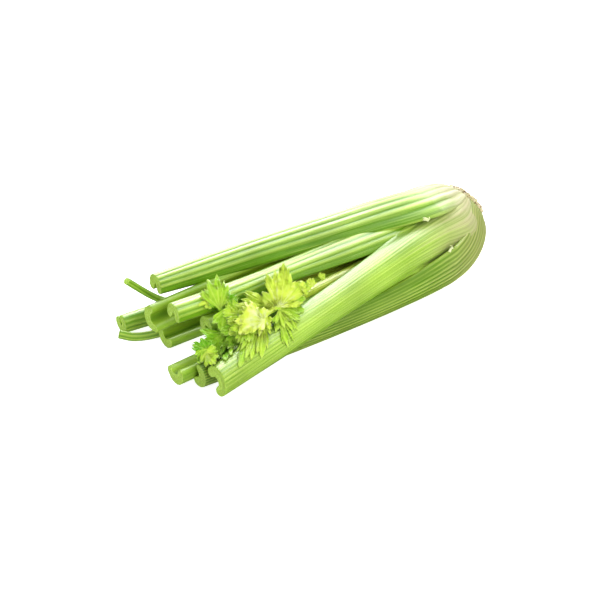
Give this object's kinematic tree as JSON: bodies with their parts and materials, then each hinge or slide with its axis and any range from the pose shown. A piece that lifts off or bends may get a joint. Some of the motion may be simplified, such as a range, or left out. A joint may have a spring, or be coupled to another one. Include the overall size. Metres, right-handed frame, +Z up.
{
  "type": "head of celery",
  "caption": "Trimmed head of celery lying on its side: ribbed crescent stalks wrapped round a root crown, splaying to cut tops, with thin side stems and small leaves.",
  "frame": {"origin": "middle of the bounding box, at the height of the surface that it lies on", "axes": "+X along the head from the cut tops to the root crown, +Z up from the surface, -Y the side that shows the leaves"},
  "size_m": [0.3098, 0.1444, 0.085],
  "materials": {
    "crown": "dull fibrous cream, browned where the root was trimmed",
    "stalk": "smooth moist ribbed skin, satin, green fading to cream at the crown",
    "heart": "smooth moist pale yellow-green skin, satin",
    "leaf": "thin veined leaf, satin, lime green"
  },
  "bodies": {
    "root": {"root_crown": "crown", "outer_stalk_top": "stalk", "outer_stalk_front": "stalk", "outer_stalk_back": "stalk", "inner_stalk_front": "stalk", "inner_stalk_underside": "stalk", "inner_stalk_back": "stalk", "inner_stalk_top": "stalk", "inner_stalk_low": "stalk", "inner_stalk_middle": "stalk", "heart_stalk_front": "heart", "heart_stalk_back": "heart", "heart_stalk_low": "heart", "side_stem_high": "stalk", "side_stem_low": "stalk", "leaf_middle": "leaf", "leaf_hanging": "leaf", "leaf_left": "leaf", "leaf_curled": "leaf", "leaf_drooping": "leaf", "leaf_low": "leaf", "leaf_small": "leaf", "leaf_back": "leaf"}
  },
  "joints": []
}
